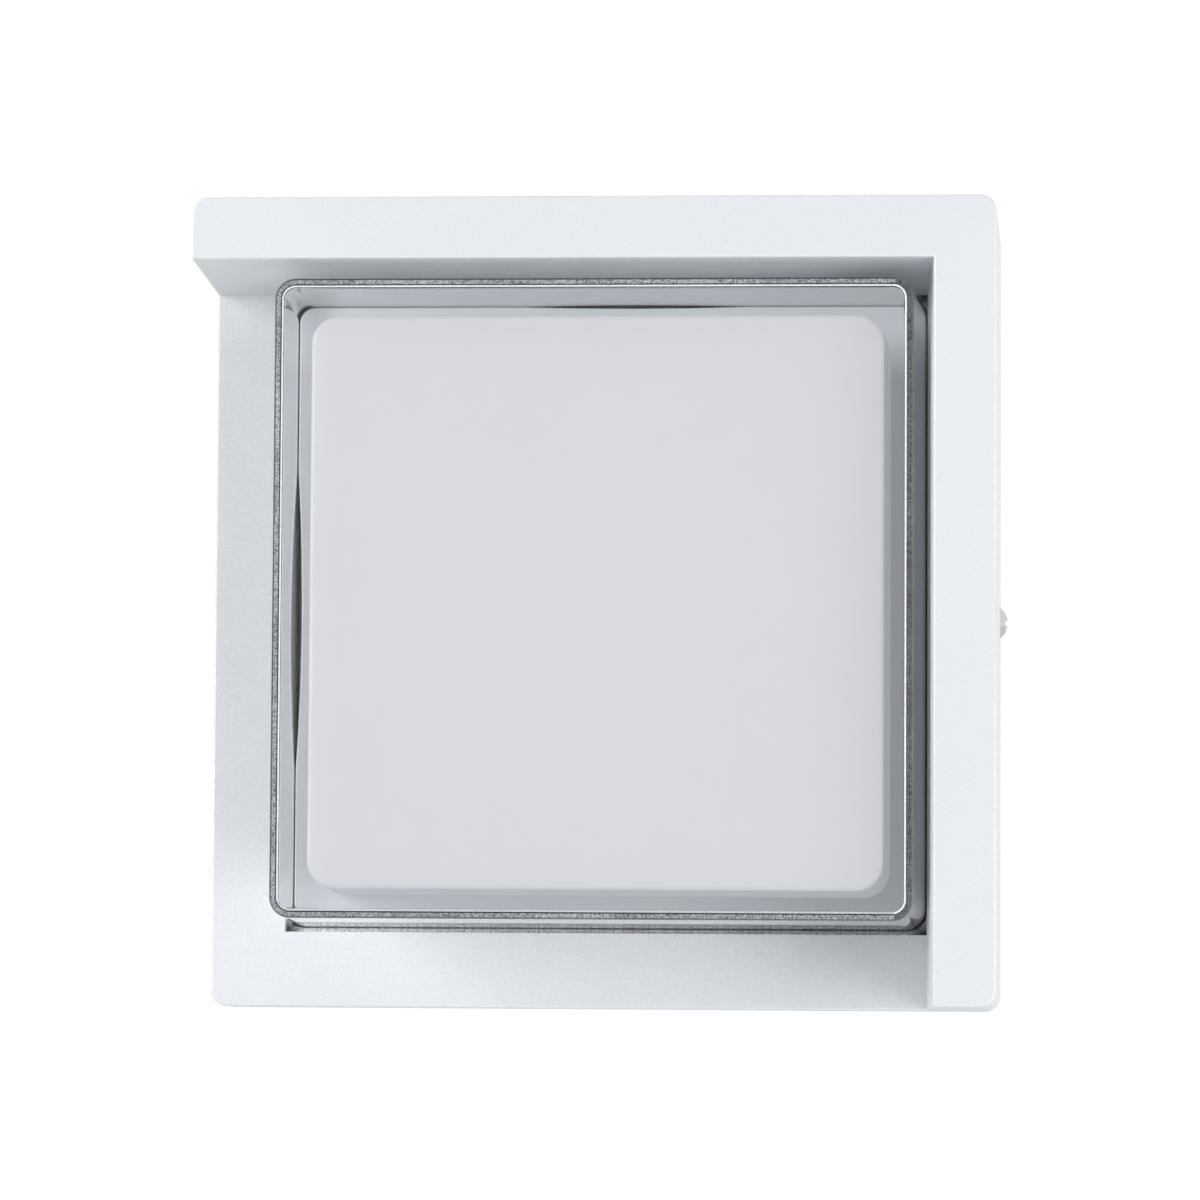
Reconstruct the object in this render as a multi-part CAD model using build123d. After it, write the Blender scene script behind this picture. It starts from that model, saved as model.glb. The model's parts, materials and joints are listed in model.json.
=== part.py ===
from build123d import *
import os
from math import copysign, radians, tan

# Square outdoor wall light with an L-shaped visor. Millimetres.
# It is drawn lying on its back: X to the right, Y up the wall, Z out from the wall,
# with the wall at Z = 0. The last lines stand it up, so that +Z is up and its front faces -Y.

past = 1.0               # cutters run this far past what they cut

# ---- casting ----
body_size = 200.0        # width and height at the back
body_depth = 80.0        # wall to the visor's front face
base_depth = 22.0        # wall to the plain ledge round the cover
draft = 1.5              # degrees, on every cast wall
corner_r = 4.0
inner_corner_r = 1.5
edge_r = 0.6             # rounding of the casting's visible edges
wall = 3.0
bar_foot = 18.2          # visor bar, thickness at the ledge
ledge = 18.8             # ledge on the two sides that have no visor
core_wall = 4.5          # casting left between the opening and the hollow of a visor bar
web_width = 10.0         # cast webs that the tray screws go into
web_depth = 10.0
web_gap = 0.1            # webs clear the cover's gasket by this

# ---- clear cover, its gasket and the tray behind it ----
cover_gap = 1.25         # above and below the cover, in the opening
cover_side_gap = 0.3     # left and right of it
cover_recess = 1.8       # cover front below the visor front
cover_draft = 2.0        # degrees, top and bottom walls
cover_side_draft = 3.0   # degrees, left and right walls
cover_wall = 2.0
cover_r = 5.0
flange_reach = 3.2       # flange past the opening's edge
flange_t = 2.2
seal_front = 1.2         # gasket lip between the casting and the flange
seal_back = 1.0          # gasket lip between the flange and the tray
seal_web = 1.0
seal_clear = 0.2         # front lip clear of the cover's walls
tray_t = 1.5
tray_step = 1.0          # tray floor in front of the ledge
tray_gap = 0.15          # between the tray's step and the cover's inside
tray_r = 4.0
tray_edge_gap = 1.4      # between the tray's rim and the casting
rim_r = 3.0
step_r = 0.5             # bend at the step's front edge
bow_depth = 1.15         # dent in the left side of the tray's step
bow_half = 38.0
bow_along = -2.0
top_bow_depth = 0.4      # slighter dent in its top side
top_bow_half = 28.0
top_bow_along = 7.0

# ---- opal box ----
opal_size = 140.5        # across its front
opal_below_cover = 14.2  # opal front behind the cover's front
opal_draft = 2.0         # degrees
opal_wall = 2.0
opal_r = 6.8
opal_edge_r = 1.0
opal_post_r = 3.5
opal_post_h = 12.0
post_end = 2.0           # solid end of a post beyond its screw hole
post_sink = 1.2          # posts stand this far into the opal's walls
diffuser_screw_l = 8.0

# ---- light engine and its bridge ----
bridge_w = 116.0
bridge_l = 120.0
bridge_over = 4.0        # bridge face in front of the driver by this
bridge_t = 1.5
bridge_foot = 8.0
foot_hole_y = 40.0
pad_t = 0.5
board_size = 108.0
board_r = 3.0
board_t = 1.6
board_hole = 48.0        # screws from the board's middle
chip = (3.5, 2.8, 0.7)
chip_rows = 6
chip_pitch = 17.0
socket_size = (9.0, 6.0, 4.5)
socket_edge = 6.0        # middle of the socket from the board's lower edge
socket_in = 3.0          # how far a lead goes into it

# ---- driver ----
driver_l = 86.0
driver_w = 36.0
driver_h = 18.0
driver_r = 2.0
driver_wall = 1.5
driver_ear = 7.0
ear_half = 5.0
ear_t = 3.0
ear_off = 12.0           # ears and leads stand this far either side of the middle
lip_gap = 0.2            # lid's lip inside the case
lip_t = 1.0
lip_h = 2.0
circuit_t = 1.6
circuit_gap = 0.5
circuit_post = 3.0
circuit_post_r = 2.0
circuit_post_in = 4.0
core_l, core_w, core_h = 16.0, 14.0, 9.0
core_plate = 3.0
winding_r = 6.0
can_r, can_h = 4.0, 9.5
can_places = (-22.0, 20.0)

# ---- wiring ----
lead_r = 0.9
lead_bend = 3.0
lead_fit = 0.1           # round a lead in its hole
lead_pitch = 3.0         # between two leads side by side
pin_x = (-2.0, 2.0)      # leads at the driver's ends and the board's socket
grommet_share = 0.75     # the same leads in the tray's grommet stand closer by this
dc_side_x = 48.0
dc_low_y = -61.5
run_y = 32.0             # leads behind the tray run across at this height
run_step = 2.0
pole_pitch = 10.0
poles = 3
block_w = 16.0
block_h = 12.5
block_y = 8.0
block_r = 0.8
tunnel_r = 1.9
tunnel_in = 4.0          # how far a lead goes into the terminal block
clamp_wall = 0.6
clamp_end = 1.5          # block left beyond each end of a clamp
clamp_screw_low = 0.6
slot_cut = (0.6, 1.2)    # screwdriver slot, width and depth
screw_room = 0.5
grommet_r = 5.0
grommet_bore = 3.2
grommet_lip = 1.6
grommet_lip_r = 6.5
grommet_x = 50.0
earth_x = 50.0
tag_t = 1.0
tag_r = 4.5
tag_w = 3.6
tag_l = 6.5
tag_run = 5.5            # earth lead's last straight run
tag_bend = 2.0

# ---- screws ----
m3_r, m3_head_r, m3_head_h = 1.5, 2.8, 1.9
m4_r, m4_head_r, m4_head_h = 2.0, 4.1, 2.7
head_flat = 0.4          # the dome of a head is this much flatter than a full one
recess_reach = 0.62      # cross recess, as shares of the head's radius and height
recess_width = 0.36
recess_depth = 0.55
through = 1.0            # sheet-metal screws come this far out of their sheet
tray_screw_l = 6.0
tray_hole_end = 0.5      # tray screws' holes are this much deeper than the screws
tray_screw_side = 45.0   # side tray screws from mid-height
side_screw_drop = 1.5    # side screws below mid-height
side_screw_z = base_depth / 2  # side screws half-way up the casting's back rim
side_seat = 0.7          # seat cut in the drafted right side for the screw's head
side_sink = 3.1          # deeper seat on the left, where the head lies below the surface
seat_clear = 0.5         # round the head in its seat
pad_depth = 1.8          # cast pad inside the side wall, for the side screws
pad_r = 6.0
tip_short = 0.2          # side screws end just short of the cradle's inner face
hole_clear = 0.25        # radial, round a screw in a plain hole
slot_clear = 0.35        # radial, round a side screw in its slot
thread_clear = 0.04      # radial, round a screw in its thread
nut_size = 7.0
nut_t = 2.2
nut_clear = 0.15
cradle_wall = 2.0
bridge_half = 2.0        # the cradle's bridge is wider than the cradle by this, each way
bridge_clear = 0.5       # and this far in front of the tabs

# ---- wall side ----
seal_t = 1.5             # foam strips between the casting and the wall
seal_inset = 0.3         # strips inside the casting's outline
seal_inward = 0.2        # strips narrower than the casting's wall
mitre_gap = 0.4          # between two strips at a corner
bracket_h = 90.0
bracket_t = 2.0
bracket_r = 6.0
tab_h = 26.0
tab_short = 1.5          # tabs end this far behind the casting's front wall
tab_r = 3.0
tab_root = 8.0           # plate stands this far in from the tabs, above and below them
tab_gap = 0.3            # tab to the casting's pad and to the nut cradle
notch_gap = 1.0          # tray's notch round the cradle
notch_side = 3.0         # and past the tab's ends
slot_x = 60.0            # wall screws, from the middle
slot_y = 25.0
slot_w = 5.5
slot_l = 14.0
cable_y = -24.0
cable_hole_r = 12.0
cable_bore_r = 4.5
cable_lip = 1.5
cable_lip_r = 14.0

# ---- levels out from the wall ----
front_wall_z = base_depth - wall
tab_top = front_wall_z - tab_short
flange_top = front_wall_z - seal_front
flange_low = flange_top - flange_t
rim_top = flange_low - seal_back
rim_low = rim_top - tray_t
floor_z = base_depth + tray_step
floor_low = floor_z - tray_t
cover_top = body_depth - cover_recess
opal_top = cover_top - opal_below_cover
bridge_top = floor_z + driver_h + bridge_over
pad_top = bridge_top + pad_t
board_top = pad_top + board_t
socket_z = board_top + socket_size[2] / 2
lead_z = floor_z + driver_h / 2
circuit_z = floor_z + driver_wall + circuit_post
part_z = circuit_z + circuit_t
block_low = floor_low - block_h
wiring_z = floor_low - block_h / 2


# ---- outlines that change with the level ----
def body_half(z):
    """Half the casting's outside at a level."""
    return body_size / 2 - z * tan(radians(draft))


def visor_face(z):
    """Inner face of both visor bars at a level."""
    return body_half(base_depth) - bar_foot + (z - base_depth) * tan(radians(draft))


opening = 2 * body_half(base_depth) - ledge - bar_foot
optic = (ledge - bar_foot) / 2           # cover and light engine stand this far right and up
optic_place = Pos(optic, optic)


def cover_half_x(z):
    """Half the clear cover's width at a level."""
    return opening / 2 - cover_side_gap - (z - base_depth) * tan(radians(cover_side_draft))


def cover_half_y(z):
    """Half the clear cover's height at a level."""
    return opening / 2 - cover_gap - (z - base_depth) * tan(radians(cover_draft))


def opal_half(z):
    """Half the opal box's outside at a level."""
    return opal_size / 2 + (opal_top - z) * tan(radians(opal_draft))


# ---- plain shapes ----
def tapered(z0, z1, half_x, half_y, r, inset=0.0):
    """Block with rounded corners between two levels, its sides following half_x and half_y."""
    sections = []
    for z in (z0, z1):
        outline = RectangleRounded(2 * (half_x(z) - inset), 2 * (half_y(z) - inset), r)
        sections.append(Plane.XY.offset(z) * outline)
    return loft(sections)


def ring(outer, inner, z0, z1, outer_r, inner_r):
    """Rounded frame between two levels: outer and inner are half its width and height."""
    profile = RectangleRounded(2 * outer[0], 2 * outer[1], outer_r)
    profile -= RectangleRounded(2 * inner[0], 2 * inner[1], inner_r)
    return extrude(Plane.XY.offset(z0) * profile, z1 - z0)


def below_visor(z0, z1, gap):
    """Everything left of and below both visor bars, gap away from their inner faces."""
    far = body_size
    sections = []
    for z in (z0, z1):
        side = far + visor_face(z) + gap
        middle = (visor_face(z) + gap - far) / 2
        sections.append(Plane.XY.offset(z) * Pos(middle, middle) * Rectangle(side, side))
    return loft(sections)


def slab(x0, x1, y0, y1, z0, z1):
    return Pos((x0 + x1) / 2, (y0 + y1) / 2, (z0 + z1) / 2) * Box(abs(x1 - x0), y1 - y0, z1 - z0)


def rod(x, y, z0, z1, r):
    """Round bar out from the wall."""
    return Pos(x, y, (z0 + z1) / 2) * Cylinder(r, z1 - z0)


def side_rod(x0, x1, y, z, r):
    """Round bar along X."""
    return Pos((x0 + x1) / 2, y, z) * Rot(0, 90, 0) * Cylinder(r, abs(x1 - x0))


def screw(r, head_r, head_h, length):
    """Cross-recess pan-head screw: its head on the origin towards +Z, its shank towards -Z."""
    dome_r = (head_r**2 + head_h**2) / (2 * head_h) + head_flat
    dome = Pos(0, 0, head_h - dome_r) * Sphere(dome_r)
    head = Pos(0, 0, head_h / 2) * Cylinder(head_r, head_h) & dome
    arm = Box(2 * head_r * recess_reach, head_r * recess_width, 2 * head_h * recess_depth)
    for turn in (0, 90):
        head -= Pos(0, 0, head_h) * Rot(0, 0, turn) * arm
    return head + Pos(0, 0, -length / 2) * Cylinder(r, length)


def corners(half):
    return [(x, y) for x in (-half, half) for y in (-half, half)]


def solids_of(pieces):
    """Several separate solids of one kind, kept as one node."""
    return Compound(children=[solid for piece in pieces for solid in piece.solids()])


def mirrored(solid):
    return mirror(solid, about=Plane.YZ)


def both_sides(solid):
    return solid + mirrored(solid)


def lead(points, radii):
    """Insulated lead: straight runs joined by tangent arcs."""
    path = FilletPolyline(*points, radius=radii)
    start = Plane(origin=path @ 0, z_dir=path % 0)
    return sweep(start * Circle(lead_r), path=path)


# ---- where the tray screws go: four corners, then the sides, clear of the side screws ----
web_inner = optic + opening / 2 + flange_reach + seal_web + web_gap
web_outer = body_half(front_wall_z) - wall / 2
screw_line = (body_half(front_wall_z) - wall + opening / 2 + core_wall + optic) / 2
tray_screw_places = corners(screw_line) + [
    (0, screw_line),
    (0, -screw_line),
    (screw_line, tray_screw_side),
    (screw_line, -tray_screw_side),
    (-screw_line, tray_screw_side),
    (-screw_line, -tray_screw_side),
]

# ---- where the side screws, their nuts and the bracket's tabs go, one side shown, the other a mirror ----
screw_y = -side_screw_drop
seat_x = body_half(side_screw_z) - side_seat
sunk_seat_x = body_half(side_screw_z) - side_sink
pad_x = body_half(side_screw_z) - wall - pad_depth
tab_outer = pad_x - tab_gap
tab_inner = tab_outer - bracket_t
cradle_outer = tab_inner - tab_gap
nut_outer = cradle_outer - nut_clear
nut_inner = nut_outer - nut_t
cradle_inner = nut_inner - nut_clear - cradle_wall
cradle_half = nut_size / 2 + nut_clear + cradle_wall
screw_tip = cradle_inner + tip_short

# ---- where the pieces inside go ----
post_place = opal_half(floor_z + opal_post_h) - opal_wall - opal_post_r + post_sink
foot_x = bridge_w / 2 + bridge_foot / 2
foot_places = [(x, y) for x in (-foot_x, foot_x) for y in (-foot_hole_y, foot_hole_y)]
ear_x = driver_l / 2 + driver_ear / 2
ear_places = [(-ear_x, ear_off), (ear_x, -ear_off)]
socket_y = socket_edge - board_size / 2
pole_x = [(k - (poles - 1) / 2) * pole_pitch for k in range(poles)]
terminal_screw_y = (block_y - block_w / 4, block_y + block_w / 4)
tunnel_y = block_y + block_w / 2 - tunnel_in
block_screw_x = (-pole_pitch / 2, pole_pitch / 2)
earth_place = (earth_x, block_y)


def web(x, y):
    """Cast web for one tray screw: a block at a corner, a bar from the side wall elsewhere."""
    middle, reach = (web_inner + web_outer) / 2, web_outer - web_inner
    across, up = abs(x) > abs(y), abs(y) > abs(x)
    place = Pos(copysign(middle, x) if across else x, copysign(middle, y) if up else y, rim_top)
    outline = Rectangle(reach if across else web_width, reach if up else web_width)
    on_visor = max(x, y) > screw_line - past
    top = rim_top + web_depth if on_visor else front_wall_z + past
    return place * extrude(outline, top - rim_top)


def housing():
    casting = tapered(seal_t, body_depth, body_half, body_half, corner_r)
    casting -= below_visor(base_depth, body_depth + past, 0)
    near = 0.01
    edges = casting.edges().filter_by(lambda e: e.center().Z > base_depth - near)
    ledge_line = near - visor_face(base_depth)
    outline = [e for e in edges if e.center().Z > body_depth - near]
    outline += [
        e for e in edges
        if abs(e.center().Z - base_depth) < near and min(e.center().X, e.center().Y) < ledge_line
    ]
    bar_ends = edges.filter_by(lambda e: base_depth + wall < e.center().Z < body_depth - wall)
    outline += [e for e in bar_ends if min(e.center().X, e.center().Y) < ledge_line]
    casting = fillet(outline, edge_r)

    core_low = front_wall_z - near
    core = tapered(core_low, body_depth - wall, body_half, body_half, inner_corner_r, inset=wall)
    casting -= core - below_visor(core_low - past, body_depth, core_wall)
    casting -= tapered(0, front_wall_z, body_half, body_half, inner_corner_r, inset=wall)
    window = Plane.XY.offset(front_wall_z - past) * Rectangle(opening, opening)
    casting -= optic_place * extrude(window, wall + 2 * past)
    for x, y in tray_screw_places:
        casting += web(x, y)

    cradle_low, cradle_high = screw_y - cradle_half, screw_y + cradle_half
    cradle = slab(cradle_inner, cradle_outer, cradle_low, cradle_high,
                  side_screw_z - cradle_half, front_wall_z)
    cradle += slab(web_inner, web_outer, cradle_low - bridge_half, cradle_high + bridge_half,
                   tab_top + bridge_clear, front_wall_z + bridge_half)
    cradle += side_rod(pad_x, pad_x + wall, screw_y, side_screw_z, pad_r)
    casting += both_sides(cradle)
    pocket_t, pocket_size = nut_t + 2 * nut_clear, nut_size + 2 * nut_clear
    pocket = Pos(cradle_outer - pocket_t / 2, screw_y, side_screw_z) * Box(pocket_t, pocket_size, pocket_size)
    hole = side_rod(cradle_inner - past, body_half(0), screw_y, side_screw_z, m4_r + hole_clear)
    casting -= both_sides(pocket + hole)
    for seat, side in ((seat_x, 1), (sunk_seat_x, -1)):
        casting -= side_rod(side * seat, side * body_size / 2, screw_y, side_screw_z, m4_head_r + seat_clear)
    for x, y in tray_screw_places:
        casting -= rod(x, y, rim_top - past, rim_low + tray_screw_l + tray_hole_end, m4_r + thread_clear)
    return casting


def clear_cover():
    shell = tapered(flange_low, cover_top, cover_half_x, cover_half_y, cover_r)
    shell = fillet(shell.edges().group_by(Axis.Z)[-1], edge_r)
    reach = opening + 2 * flange_reach
    flange = extrude(Plane.XY.offset(flange_low) * RectangleRounded(reach, reach, cover_r), flange_t)
    inner_top, inner_r = cover_top - cover_wall, cover_r - cover_wall
    hollow = tapered(flange_low - past, inner_top, cover_half_x, cover_half_y, inner_r, inset=cover_wall)
    hollow = fillet(hollow.edges().group_by(Axis.Z)[-1], edge_r)
    return optic_place * (shell + flange - hollow)


def cover_gasket():
    reach = opening / 2 + flange_reach
    outer = reach + seal_web
    front = (cover_half_x(flange_top) + seal_clear, cover_half_y(flange_top) + seal_clear)
    back = (cover_half_x(flange_low) - cover_wall, cover_half_y(flange_low) - cover_wall)
    outer_r = cover_r + seal_web
    gasket = ring((outer, outer), front, flange_top, front_wall_z, outer_r, cover_r)
    gasket += ring((outer, outer), (reach, reach), rim_top, front_wall_z, outer_r, cover_r)
    gasket += ring((outer, outer), back, rim_top, flange_low, outer_r, cover_r - cover_wall)
    return optic_place * gasket


def step_outline(shrink):
    """Outline of the tray's step, with its two shallow dents, shrunk by a wall."""
    inset = cover_wall + tray_gap + shrink
    half_x, half_y = cover_half_x(floor_z) - inset, cover_half_y(floor_z) - inset
    outline = RectangleRounded(2 * half_x, 2 * half_y, tray_r - shrink / 2)
    for half, depth, reach, turn, along in (
        (half_x, bow_depth, bow_half, 0, bow_along),
        (half_y, top_bow_depth, top_bow_half, -90, top_bow_along),
    ):
        bow_r = (reach**2 + depth**2) / (2 * depth)
        outline -= Rot(0, 0, turn) * Pos(-half + depth - bow_r, along) * Circle(bow_r)
    return outline


def gear_tray():
    rim_size = 2 * (body_half(rim_low) - wall - tray_edge_gap)
    rim = extrude(Plane.XY.offset(rim_low) * RectangleRounded(rim_size, rim_size, rim_r), tray_t)
    step = extrude(Plane.XY.offset(rim_low) * step_outline(0), floor_z - rim_low)
    step = fillet(step.edges().group_by(Axis.Z)[-1], step_r)
    hollow = extrude(Plane.XY.offset(rim_low) * step_outline(tray_t), floor_low - rim_low)
    tray = rim + optic_place * (step - hollow)
    tray -= optic_place * hollow
    notch_x, notch_half = cradle_inner - notch_gap, tab_h / 2 + notch_side
    notch = slab(notch_x, body_size, screw_y - notch_half, screw_y + notch_half, 0, rim_top + past)
    tray -= both_sides(notch)
    for x, y in tray_screw_places:
        tray -= rod(x, y, 0, rim_top + past, m4_r + hole_clear)
    holes = [(x, y, m3_r + hole_clear) for x, y in corners(post_place)]
    holes += [(x, y, m3_r) for x, y in foot_places + ear_places]
    holes += [(x, block_y, m3_r) for x in block_screw_x]
    holes += [(*earth_place, m4_r), (-grommet_x, 0, grommet_r)]
    for x, y, r in holes:
        tray -= optic_place * rod(x, y, floor_low - past, floor_z + past, r)
    return tray


def opal_diffuser():
    shell = tapered(floor_z, opal_top, opal_half, opal_half, opal_r)
    shell = fillet(shell.edges().group_by(Axis.Z)[-1], opal_edge_r)
    inner_r = opal_r - opal_wall
    shell -= tapered(floor_z - past, opal_top - opal_wall, opal_half, opal_half, inner_r, inset=opal_wall)
    for x, y in corners(post_place):
        shell += rod(x, y, floor_z, floor_z + opal_post_h, opal_post_r)
        shell -= rod(x, y, floor_z - past, floor_z + opal_post_h - post_end, m3_r + thread_clear)
    return optic_place * shell


def tray_screws():
    one = Rot(180, 0, 0) * screw(m4_r, m4_head_r, m4_head_h, tray_screw_l)
    return solids_of([Pos(x, y, rim_low) * one for x, y in tray_screw_places])


def diffuser_screws():
    one = Rot(180, 0, 0) * screw(m3_r, m3_head_r, m3_head_h, diffuser_screw_l)
    return solids_of([optic_place * Pos(x, y, floor_low) * one for x, y in corners(post_place)])


def led_carrier():
    half, end = bridge_w / 2, bridge_l / 2
    bridge = slab(-half, half, -end, end, bridge_top - bridge_t, bridge_top)
    leg = slab(half - bridge_t, half, -end, end, floor_z, bridge_top)
    leg += slab(half - bridge_t, half + bridge_foot, -end, end, floor_z, floor_z + bridge_t)
    bridge += both_sides(leg)
    for x, y in foot_places:
        bridge -= rod(x, y, floor_z - past, floor_z + bridge_t + past, m3_r + hole_clear)
    for x, y in corners(board_hole):
        bridge -= rod(x, y, bridge_top - bridge_t - past, bridge_top + past, m3_r)
    return optic_place * bridge


def carrier_screws():
    one = screw(m3_r, m3_head_r, m3_head_h, bridge_t + tray_t + through)
    return solids_of([optic_place * Pos(x, y, floor_z + bridge_t) * one for x, y in foot_places])


def board_sheet(z0, z1, hole_r):
    sheet = extrude(Plane.XY.offset(z0) * RectangleRounded(board_size, board_size, board_r), z1 - z0)
    for x, y in corners(board_hole):
        sheet -= rod(x, y, z0 - past, z1 + past, hole_r)
    return optic_place * sheet


def led_chips():
    one = Pos(0, 0, board_top + chip[2] / 2) * Box(*chip)
    places = GridLocations(chip_pitch, chip_pitch, chip_rows, chip_rows)
    return solids_of([optic_place * place * one for place in places])


def led_board_screws():
    one = screw(m3_r, m3_head_r, m3_head_h, board_t + pad_t + bridge_t + through)
    return solids_of([optic_place * Pos(x, y, board_top) * one for x, y in corners(board_hole)])


def led_connector():
    w, l, h = socket_size
    low_end = socket_y - l / 2
    body = slab(-w / 2, w / 2, low_end, low_end + l, board_top, board_top + h)
    for x in pin_x:
        body -= Pos(x, low_end, socket_z) * Rot(90, 0, 0) * Cylinder(lead_r + lead_fit, 2 * socket_in)
    return optic_place * body


def driver_case():
    half_l, half_w = driver_l / 2, driver_w / 2
    inner_l, inner_w = half_l - driver_wall, half_w - driver_wall
    top = floor_z + driver_h - driver_wall
    case = slab(-half_l, half_l, -half_w, half_w, floor_z, top)
    case = fillet(case.edges().filter_by(Axis.Z), driver_r)
    case -= slab(-inner_l, inner_l, -inner_w, inner_w, floor_z + driver_wall, top + past)
    for x, y in ear_places:
        root, tip = copysign(inner_l, x), copysign(half_l + driver_ear, x)
        case += slab(root, tip, y - ear_half, y + ear_half, floor_z, floor_z + ear_t)
        case -= rod(x, y, floor_z - past, floor_z + ear_t + past, m3_r + hole_clear)
    for x in (circuit_post_in - inner_l, inner_l - circuit_post_in):
        for y in (circuit_post_in - inner_w, inner_w - circuit_post_in):
            case += rod(x, y, floor_z + driver_wall, circuit_z, circuit_post_r)
    for end in (-1, 1):
        for x in pin_x:
            inside, outside = end * (inner_l - past), end * (half_l + past)
            case -= side_rod(inside, outside, end * ear_off + x, lead_z, lead_r + lead_fit)
    return optic_place * case


def driver_lid():
    half_l, half_w = driver_l / 2, driver_w / 2
    lid_low = floor_z + driver_h - driver_wall
    lid = slab(-half_l, half_l, -half_w, half_w, lid_low, lid_low + driver_wall)
    lid = fillet(lid.edges().filter_by(Axis.Z), driver_r)
    lip_l, lip_w = half_l - driver_wall - lip_gap, half_w - driver_wall - lip_gap
    lip = slab(-lip_l, lip_l, -lip_w, lip_w, lid_low - lip_h, lid_low)
    lip -= slab(lip_t - lip_l, lip_l - lip_t, lip_t - lip_w, lip_w - lip_t, lid_low - lip_h, lid_low)
    return optic_place * (lid + lip)


def driver_board():
    half_l, half_w = driver_l / 2 - driver_wall - circuit_gap, driver_w / 2 - driver_wall - circuit_gap
    return optic_place * slab(-half_l, half_l, -half_w, half_w, circuit_z, part_z)


def driver_transformer():
    half_l, half_w, top = core_l / 2, core_w / 2, part_z + core_h
    core = slab(-half_l, half_l, -half_w, half_w, part_z, part_z + core_plate)
    core += slab(-half_l, half_l, -half_w, half_w, top - core_plate, top)
    return optic_place * (core + rod(0, 0, part_z, top, winding_r))


def driver_capacitors():
    cans = []
    for x in can_places:
        can = rod(x, 0, part_z, part_z + can_h, can_r)
        cans.append(optic_place * fillet(can.edges().group_by(Axis.Z)[-1], edge_r))
    return solids_of(cans)


def driver_screws():
    one = screw(m3_r, m3_head_r, m3_head_h, ear_t + tray_t + through)
    return solids_of([optic_place * Pos(x, y, floor_z + ear_t) * one for x, y in ear_places])


def dc_lead(k):
    """One lead of the pair from the driver, round the end of the bridge, to the board's socket."""
    y = ear_off + pin_x[k]
    side_x, low_y = dc_side_x + k * lead_pitch, dc_low_y - k * lead_pitch
    points = [
        (driver_l / 2 - driver_wall, y, lead_z),
        (side_x, y, lead_z),
        (side_x, low_y, lead_z),
        (side_x, low_y, socket_z),
        (-pin_x[k], low_y, socket_z),
        (-pin_x[k], socket_y - socket_size[1] / 2 + socket_in, socket_z),
    ]
    return optic_place * lead(points, lead_bend)


def mains_lead(k, across_y, pole):
    """One lead of the pair from the driver, through the tray's grommet, to the terminal block."""
    y = pin_x[k] - ear_off
    x = pin_x[k] * grommet_share - grommet_x
    points = [
        (driver_wall - driver_l / 2, y, lead_z),
        (x, y, lead_z),
        (x, 0, lead_z),
        (x, 0, wiring_z),
        (x, across_y, wiring_z),
        (pole_x[pole], across_y, wiring_z),
        (pole_x[pole], tunnel_y, wiring_z),
    ]
    return optic_place * lead(points, lead_bend)


def earth_lead():
    x, y = earth_place
    tag_z = floor_low - tag_t - lead_r
    points = [
        (pole_x[2], tunnel_y, wiring_z),
        (pole_x[2], run_y, wiring_z),
        (x, run_y, wiring_z),
        (x, y + tag_l + tag_run, tag_z),
        (x, y + tag_l, tag_z),
    ]
    return optic_place * lead(points, [lead_bend, lead_bend, tag_bend])


def earth_tag():
    x, y = earth_place
    tag = rod(x, y, floor_low - tag_t, floor_low, tag_r)
    tag += slab(x - tag_w / 2, x + tag_w / 2, y, y + tag_l, floor_low - tag_t, floor_low)
    tag -= rod(x, y, floor_low - tag_t - past, floor_low + past, m4_r + hole_clear)
    return optic_place * tag


def earth_screw():
    one = Rot(180, 0, 0) * screw(m4_r, m4_head_r, m4_head_h, tag_t + tray_t + through)
    return optic_place * Pos(*earth_place, floor_low - tag_t) * one


def tray_grommet():
    grommet = rod(-grommet_x, 0, floor_low, floor_z, grommet_r)
    grommet += rod(-grommet_x, 0, floor_low - grommet_lip, floor_low, grommet_lip_r)
    grommet += rod(-grommet_x, 0, floor_z, floor_z + grommet_lip, grommet_lip_r)
    low, high = floor_low - grommet_lip - past, floor_z + grommet_lip + past
    return optic_place * (grommet - rod(-grommet_x, 0, low, high, grommet_bore))


def terminal_block():
    half = poles * pole_pitch / 2
    body = slab(-half, half, block_y - block_w / 2, block_y + block_w / 2, block_low, floor_low)
    body = fillet(body.edges().filter_by(Axis.Z), block_r)
    tunnel = Rot(90, 0, 0) * Cylinder(tunnel_r + clamp_wall, block_w + 2 * past)
    for x in pole_x:
        body -= Pos(x, block_y, wiring_z) * tunnel
        for y in terminal_screw_y:
            body -= rod(x, y, block_low - past, wiring_z, m3_r + screw_room)
    for x in block_screw_x:
        body -= rod(x, block_y, block_low - past, floor_low + past, m3_r + hole_clear)
        body -= rod(x, block_y, block_low - past, block_low + m3_head_h, m3_head_r + seal_clear)
    return optic_place * body


def terminal_clamps():
    tube = Cylinder(tunnel_r + clamp_wall, block_w - 2 * clamp_end) - Cylinder(tunnel_r, block_w)
    clamps = []
    for x in pole_x:
        clamp = Pos(x, block_y, wiring_z) * Rot(90, 0, 0) * tube
        for y in terminal_screw_y:
            clamp -= rod(x, y, block_low, wiring_z, m3_r)
        clamps.append(optic_place * clamp)
    return solids_of(clamps)


def terminal_screws():
    low = block_low + clamp_screw_low
    screws = []
    for x in pole_x:
        for y in terminal_screw_y:
            slot = Pos(x, y, low) * Box(4 * m3_r, *slot_cut)
            screws.append(optic_place * (rod(x, y, low, wiring_z - lead_r, m3_r) - slot))
    return solids_of(screws)


def terminal_block_screws():
    one = Rot(180, 0, 0) * screw(m3_r, m3_head_r, m3_head_h, block_h - m3_head_h + tray_t - tip_short)
    seat = block_low + m3_head_h
    return solids_of([optic_place * Pos(x, block_y, seat) * one for x in block_screw_x])


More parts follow.
